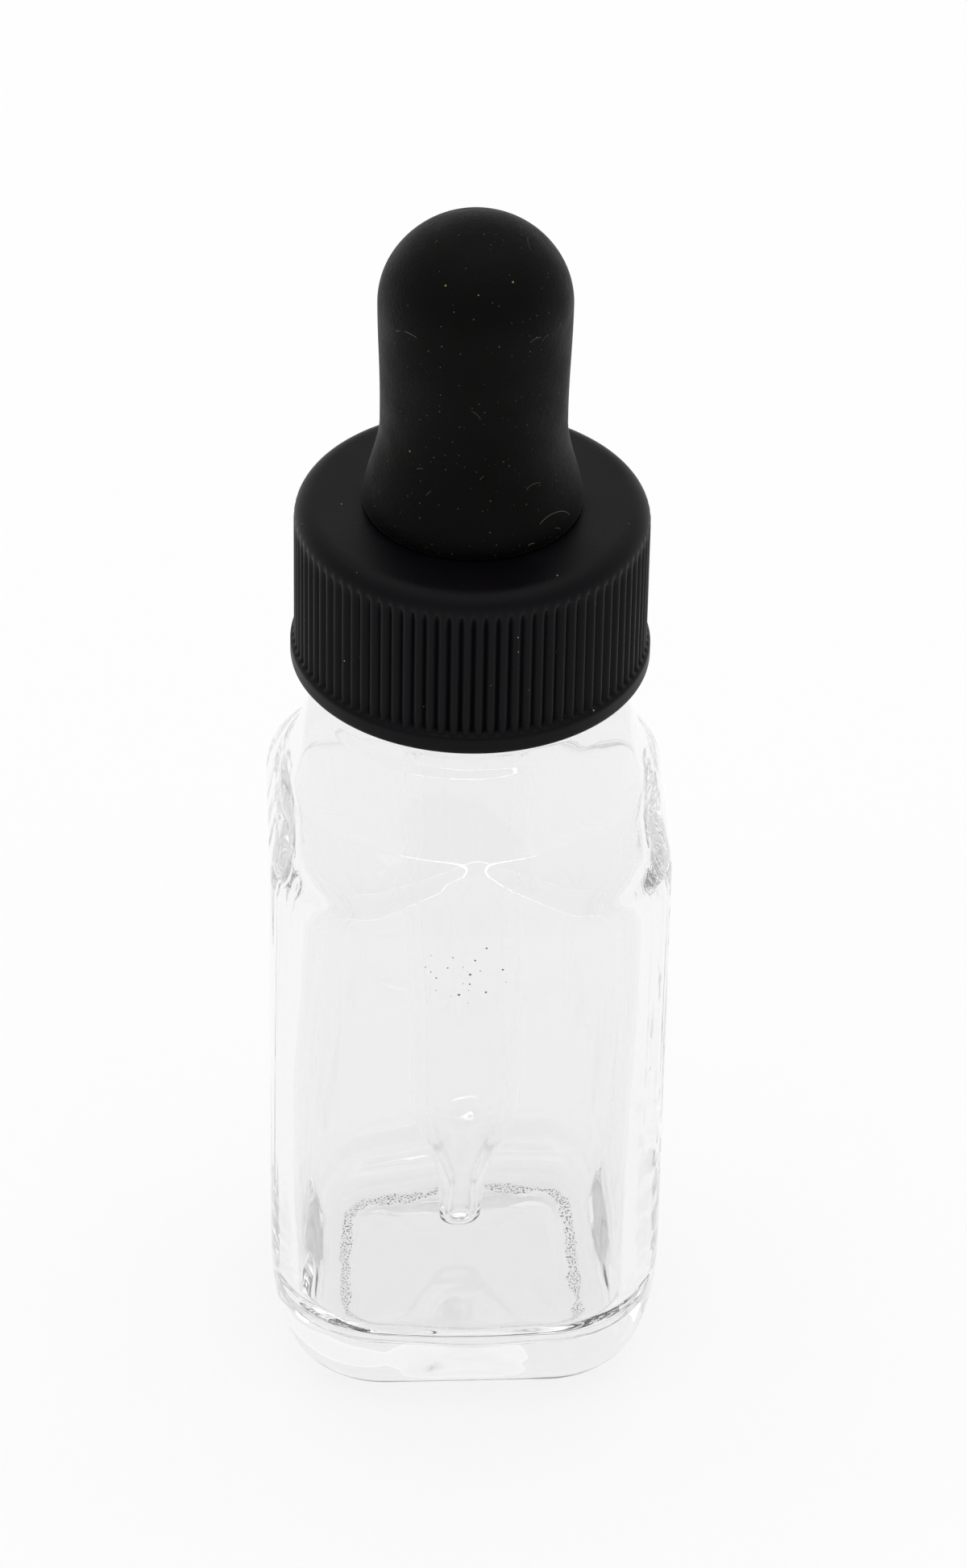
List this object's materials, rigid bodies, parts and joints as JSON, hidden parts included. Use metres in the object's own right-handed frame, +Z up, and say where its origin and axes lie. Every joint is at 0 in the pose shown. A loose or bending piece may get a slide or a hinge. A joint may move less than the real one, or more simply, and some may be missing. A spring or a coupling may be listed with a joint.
{
  "type": "dropper bottle",
  "caption": "Small square clear glass bottle with a ribbed black screw cap, a black rubber bulb and a glass pipette.",
  "frame": {"origin": "middle of the bottle's base, on the surface that it stands on", "axes": "+Z up along the bottle's axis, with the flat sides of the bottle facing X and Y"},
  "size_m": [0.0254, 0.0254, 0.0832],
  "materials": {
    "bottle_glass": "clear, smooth, moulded",
    "pipette_glass": "clear, smooth, drawn",
    "cap_plastic": "satin black, moulded",
    "bulb_rubber": "matte black, dusty"
  },
  "bodies": {
    "bottle": {"glass_bottle": "bottle_glass"},
    "dropper": {"glass_pipette": "pipette_glass"},
    "cap": {"screw_cap": "cap_plastic"},
    "bulb": {"rubber_bulb": "bulb_rubber"}
  },
  "joints": [
    {"name": "dropper_lift", "type": "slide", "parent": "bottle", "child": "dropper", "axis": [0, 0, 1], "range_m": [0, 0.0572]},
    {"name": "cap_turn", "type": "hinge", "parent": "dropper", "child": "cap", "pos_m": [0, 0, 0.0577], "axis": [0, 0, 1], "range_deg": [0, 6480]},
    {"name": "bulb_squeeze", "type": "slide", "parent": "dropper", "child": "bulb", "axis": [0, 0, -1], "range_m": [0, 0.005], "stiffness_N_per_m": 400, "deforming": ["rubber_bulb"]}
  ],
  "couplings": [
    {"joint": "dropper_lift", "follows": "cap_turn", "m_per_rad": 0.00050532}
  ]
}
